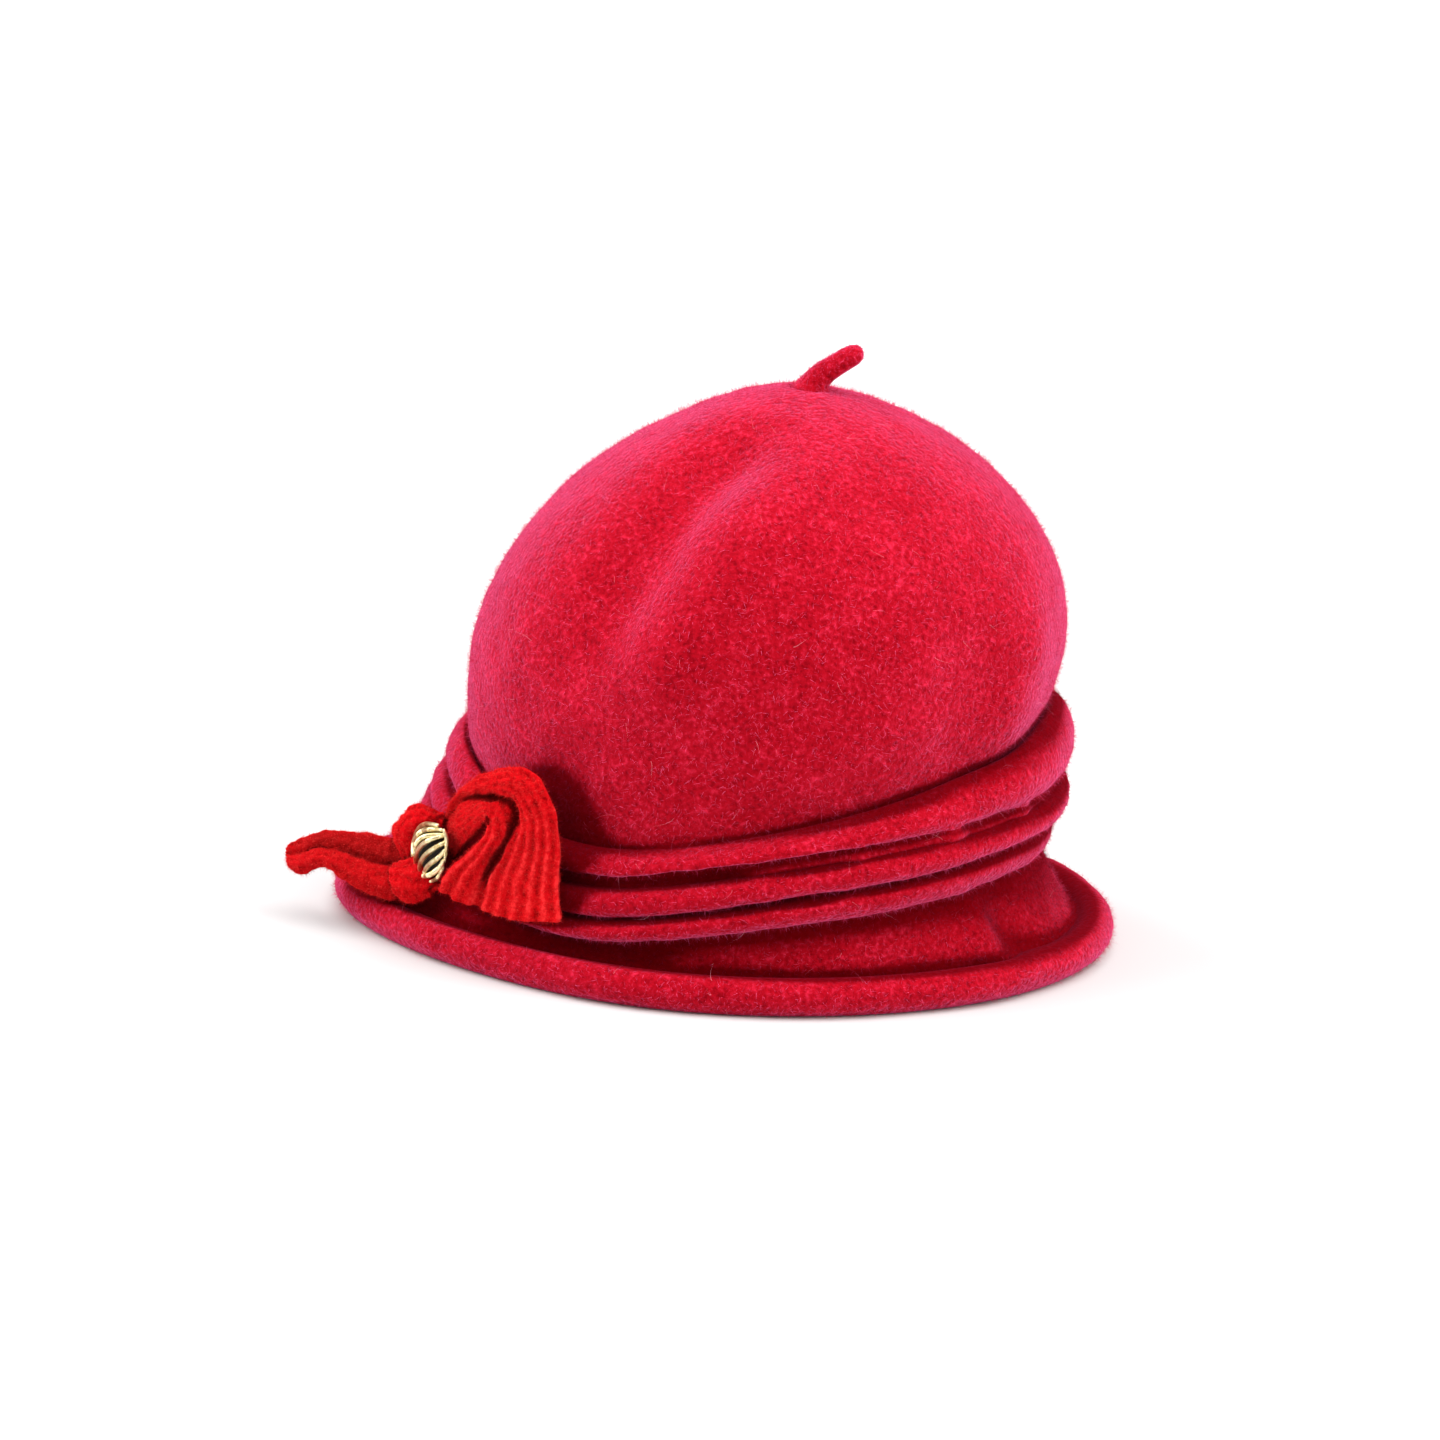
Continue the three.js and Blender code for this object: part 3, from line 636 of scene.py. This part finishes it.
def paint_fold_shade(pieces, shading, sewn_on, reach, rays, seed):
    """Stores at each point its painted shade: how much the shading pieces close it in against
    light from above.

    This many rays go out from each point, as far as reach. The felt beside the ribbon that is
    sewn on it gets a painted shadow, too.
    """
    tree = search_tree(shading)
    ribbon_tree = search_tree(sewn_on)
    spread = np.random.default_rng(seed).normal(size=(rays, 3))
    spread = [Vector(ray).normalized() for ray in spread]
    for part in pieces:
        mesh = part.data
        closed = np.zeros(len(mesh.vertices))
        for vertex in mesh.vertices:
            start = vertex.co + vertex.normal * RAY_START
            mean = (vertex.normal + UP).normalized() * MEAN_LENGTH
            for ray in spread:
                if tree.ray_cast(start, mean + ray, reach)[0] is not None:
                    closed[vertex.index] += 1 / rays
        ends = np.array([edge.vertices for edge in mesh.edges])
        count = len(closed)
        degree = 1 + np.bincount(ends.ravel(), minlength=count)
        for _ in range(SMOOTHINGS):
            nearby = np.bincount(ends[:, 0], closed[ends[:, 1]], count)
            nearby += np.bincount(ends[:, 1], closed[ends[:, 0]], count)
            closed = (closed + nearby) / degree
        # the share of rays closed off becomes the painted shade
        deep = np.clip((closed - OPEN_SHARE) / DEEP_AFTER, 0, 1)
        deep = DEEPEST * deep * deep * (3 - 2 * deep)
        # painted shadow on the felt beside the sewn-on ribbon, darkest nearest the ribbon
        if part not in sewn_on:
            near = [ribbon_tree.find_nearest(point.co, RIBBON_SHADOW_WIDTH) for point in mesh.vertices]
            away = np.array([RIBBON_SHADOW_WIDTH if gap is None else gap for *_, gap in near])
            deep = np.maximum(deep, RIBBON_SHADOW * (1 - away / RIBBON_SHADOW_WIDTH))
        stored = mesh.attributes.new("painted_fold_shade", "FLOAT", "POINT")
        stored.data.foreach_set("value", deep)


bow = [fan, tail, loop, fold]
paint_fold_shade([felt_hat, stalk, *bow], [felt_hat, *bow], bow, reach=50 * MM, rays=24, seed=10)


def nap_finish(name, root, tip, tint, shading):
    """Fibres from the cloth's own colour to a paler one, hair by hair, with painted shade in folds.
    """
    wool = Finish(
        name,
        Roughness=0.8,
        Sheen_Weight=0.3,
        Sheen_Tint=tint,
        Specular_IOR_Level=0.0,
    )
    colour = wool.mixed(wool.stored("pale"), root, tip)
    # painted shade in the folds
    colour = wool.mixed(wool.stored("painted_fold_shade"), colour, shading)
    wool.feed(wool.shader, {"Base Color": colour})
    return wool.material


def fibre(bends):
    """One tapering hair along +Z, 1 long and 1 thick, cut so that it can bend."""
    bm = bmesh.new()
    bmesh.ops.create_cone(
        bm,
        cap_ends=True,
        segments=3,
        radius1=0.5,
        radius2=0.0,
        depth=1.0,
        matrix=Matrix.Translation((0, 0, 0.5)),
    )
    for cut in range(1, bends):
        bmesh.ops.bisect_plane(
            bm,
            geom=bm.verts[:] + bm.edges[:] + bm.faces[:],
            plane_co=(0, 0, cut / bends),
            plane_no=(0, 0, 1),
        )
    bmesh.ops.triangulate(bm, faces=bm.faces)
    bm.verts.index_update()
    corners = np.array([vertex.co for vertex in bm.verts])
    faces = np.array([[vertex.index for vertex in face.verts] for face in bm.faces])
    bm.free()
    return corners, faces


ROOT_DEPTH = 0.1 * MM
OFF_THE_FLOOR = 0.05 * MM


def nap(name, hosts, count, length, width, lean, curl, bends, keep, material, seed):
    """Hairs rooted at chance all over the hosts, joined into one mesh.

    length and width are the least and the most in millimetres, lean is how far they tip over
    and curl how far they bend, as parts of their length, and bends is how many stretches each
    is cut into. keep says where they grow.
    """
    chance = np.random.default_rng(seed)
    corners, normals, closed = [], [], []
    for host in hosts:
        mesh = host.data
        mesh.calc_loop_triangles()
        points = np.array([vertex.co for vertex in mesh.vertices])
        facing = np.array([vertex.normal for vertex in mesh.vertices])
        triangles = np.array([triangle.vertices for triangle in mesh.loop_triangles])
        corners.append(points[triangles])
        normals.append(facing[triangles])
        # each hair takes the painted shade of the face it grows from
        deep = np.array([entry.value for entry in mesh.attributes["painted_fold_shade"].data])
        closed.append(deep[triangles].mean(1))
    corners, normals = np.concatenate(corners), np.concatenate(normals)
    closed = np.concatenate(closed)
    sides = np.cross(corners[:, 1] - corners[:, 0], corners[:, 2] - corners[:, 0])
    wanted = np.linalg.norm(sides, axis=1) * keep(corners.mean(1), normals.mean(1))
    chosen = chance.choice(len(wanted), count, p=wanted / wanted.sum())
    share = chance.dirichlet((1, 1, 1), count)[:, :, None]
    root = (corners[chosen] * share).sum(1)
    out = (normals[chosen] * share).sum(1)
    out /= np.linalg.norm(out, axis=1)[:, None]
    loose = chance.normal(size=(2, count, 3))
    tipped = out + lean * loose[0]
    tipped /= np.linalg.norm(tipped, axis=1)[:, None]
    side = np.cross(tipped, loose[1])
    side /= np.linalg.norm(side, axis=1)[:, None]
    other = np.cross(tipped, side)
    long = chance.uniform(*length, count)[:, None, None] * MM
    thick = chance.uniform(*width, count)[:, None, None] * MM
    shape, faces = fibre(bends)
    x, y, z = (shape[None, :, k, None] for k in range(3))
    points = (
        root[:, None]
        - ROOT_DEPTH * out[:, None]
        + (x * side[:, None] + y * other[:, None]) * thick
        + long * (z * tipped[:, None] + curl * z * z * side[:, None])
    )
    points[:, :, 2] = np.maximum(points[:, :, 2], OFF_THE_FLOOR)
    corners_each = len(shape)
    triangles = faces[None] + corners_each * np.arange(count)[:, None, None]
    mesh = bpy.data.meshes.new(name)
    mesh.from_pydata(points.reshape(-1, 3), [], triangles.reshape(-1, 3).tolist())
    pale = mesh.attributes.new("pale", "FLOAT", "POINT")
    pale.data.foreach_set("value", np.repeat(chance.uniform(0, 1, count) ** 2, corners_each))
    hair_shade = mesh.attributes.new("painted_fold_shade", "FLOAT", "POINT")
    hair_shade.data.foreach_set("value", np.repeat(closed[chosen], corners_each))
    mesh.materials.append(material)
    made = bpy.data.objects.new(name, mesh)
    bpy.context.scene.collection.objects.link(made)
    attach(made, "root")


wool_nap = nap_finish(
    "wool_nap",
    root=(0.55, 0.005, 0.03, 1.0),
    tip=(1.0, 0.16, 0.38, 1.0),
    tint=FELT_BLOOM,
    shading=SHADED_FELT,
)
loose_wool = nap_finish(
    "loose_wool",
    root=(0.9, 0.1, 0.22, 1.0),
    tip=(1.0, 0.45, 0.55, 1.0),
    tint=(1.0, 0.5, 0.6, 1.0),
    shading=(0.4, 0.02, 0.06, 1.0),
)
ribbon_nap = nap_finish(
    "ribbon_nap",
    root=(0.6, 0.0025, 0.005, 1.0),
    tip=(1.0, 0.08, 0.07, 1.0),
    tint=(1.0, 0.08, 0.1, 1.0),
    shading=SHADED_RIBBON,
)


UNDER_LIP = 1.2 * MM
TOP_OF_TUCKS = 62 * MM


def outside(points, normals):
    """1 on the hat's outer faces, and 0 in its hollow and under its lip."""
    away = ((points - np.array(HEART)) * normals).sum(1) > 0
    return away * (points[:, 2] > UNDER_LIP) * 1.0


def crown_only(points, normals):
    """The outer faces above the tucks."""
    return outside(points, normals) * (points[:, 2] > TOP_OF_TUCKS)


def tucks_and_brim(points, normals):
    """The outer faces from the tucks down."""
    return outside(points, normals) * (points[:, 2] <= TOP_OF_TUCKS)


def everywhere(points, normals):
    """All the faces, as a ribbon's two sides both have a pile."""
    return np.ones(len(points))


nap(
    "crown_nap", [felt_hat], count=49000, length=(1.0, 3.0), width=(0.08, 0.14),
    lean=0.5, curl=0.6, bends=1, keep=crown_only,
    material=wool_nap, seed=11,
)
nap(
    "brim_nap", [felt_hat], count=49000, length=(0.9, 2.6), width=(0.08, 0.14),
    lean=0.55, curl=0.6, bends=1, keep=tucks_and_brim,
    material=wool_nap, seed=12,
)
nap(
    "stalk_nap", [stalk], count=2000, length=(0.8, 1.8), width=(0.08, 0.14),
    lean=0.6, curl=0.5, bends=1, keep=outside,
    material=wool_nap, seed=13,
)
nap(
    "loose_hairs", [felt_hat, stalk], count=900, length=(2.5, 6.5), width=(0.06, 0.1),
    lean=0.9, curl=0.9, bends=8, keep=outside,
    material=loose_wool, seed=14,
)
nap(
    "bow_nap", bow, count=44000, length=(0.7, 1.9), width=(0.07, 0.13),
    lean=0.6, curl=0.4, bends=1, keep=everywhere,
    material=ribbon_nap, seed=15,
)


# ---- Floor, light and camera ----
# A plain pale floor, wide soft lights above and in front of and behind the hat, and a camera
# at the wearer's left side, a little above it.

FLOOR_REACH = 30.0

bm = bmesh.new()
bmesh.ops.create_grid(bm, x_segments=1, y_segments=1, size=FLOOR_REACH)
floor_mesh = bpy.data.meshes.new("floor")
bm.to_mesh(floor_mesh)
bm.free()
floor = bpy.data.objects.new("floor", floor_mesh)
bpy.context.scene.collection.objects.link(floor)
paper = Finish("pale_floor", Roughness=0.8, Specular_IOR_Level=0.1)
shade = paper.mixed(paper.cloud(3.0), (0.64, 0.64, 0.64, 1.0), (0.66, 0.66, 0.66, 1.0))
paper.feed(paper.shader, {"Base Color": shade})
floor_mesh.materials.append(paper.material)

world = bpy.data.worlds.new("studio")
world.use_nodes = True
world.node_tree.nodes["Background"].inputs["Color"].default_value = (1.0, 1.0, 1.0, 1.0)
world.node_tree.nodes["Background"].inputs["Strength"].default_value = 0.38
bpy.context.scene.world = world
bpy.context.scene.view_settings.view_transform = "Standard"

SUN_WIDTH = math.radians(60)
SOFT_LIGHTS = [
    # name, direction that it comes from, strength
    ("soft_light_above", (0.1, 0.1, 1.0), 2.0),
    ("soft_light_front", (-0.1, -1.0, 0.75), 2.8),
    ("soft_light_back", (0.0, 1.0, 0.8), 2.8),
]
for name, source, strength in SOFT_LIGHTS:
    light = bpy.data.lights.new(name, "SUN")
    light.angle = SUN_WIDTH
    light.energy = strength
    lamp = bpy.data.objects.new(name, light)
    lamp.rotation_euler = Vector(source).to_track_quat("Z", "Y").to_euler()
    bpy.context.scene.collection.objects.link(lamp)

HEIGHT_ANGLE = math.radians(16)
ROLL = math.radians(3.2)
DISTANCE = 1.8
VIEW_WIDTH = 0.4896
SENSOR = 36.0
HAT_MIDDLE = Vector((0, 7.7, 0)) * MM
AIM = {"forward": 1.9 * MM, "up": 67.2 * MM}
towards = Vector((math.cos(HEIGHT_ANGLE), 0, math.sin(HEIGHT_ANGLE)))
level_up = towards.cross(BACK)
across = BACK * math.cos(ROLL) + level_up * math.sin(ROLL)
upward = level_up * math.cos(ROLL) - BACK * math.sin(ROLL)
target = HAT_MIDDLE - across * AIM["forward"] + upward * AIM["up"]
lens = bpy.data.cameras.new("camera")
lens.sensor_width = SENSOR
lens.lens = SENSOR * DISTANCE / VIEW_WIDTH
camera = bpy.data.objects.new("camera", lens)
camera.matrix_world = Matrix.Translation(target + towards * DISTANCE) @ (
    Matrix((across, upward, towards)).transposed().to_4x4()
)
bpy.context.scene.collection.objects.link(camera)
bpy.context.scene.camera = camera
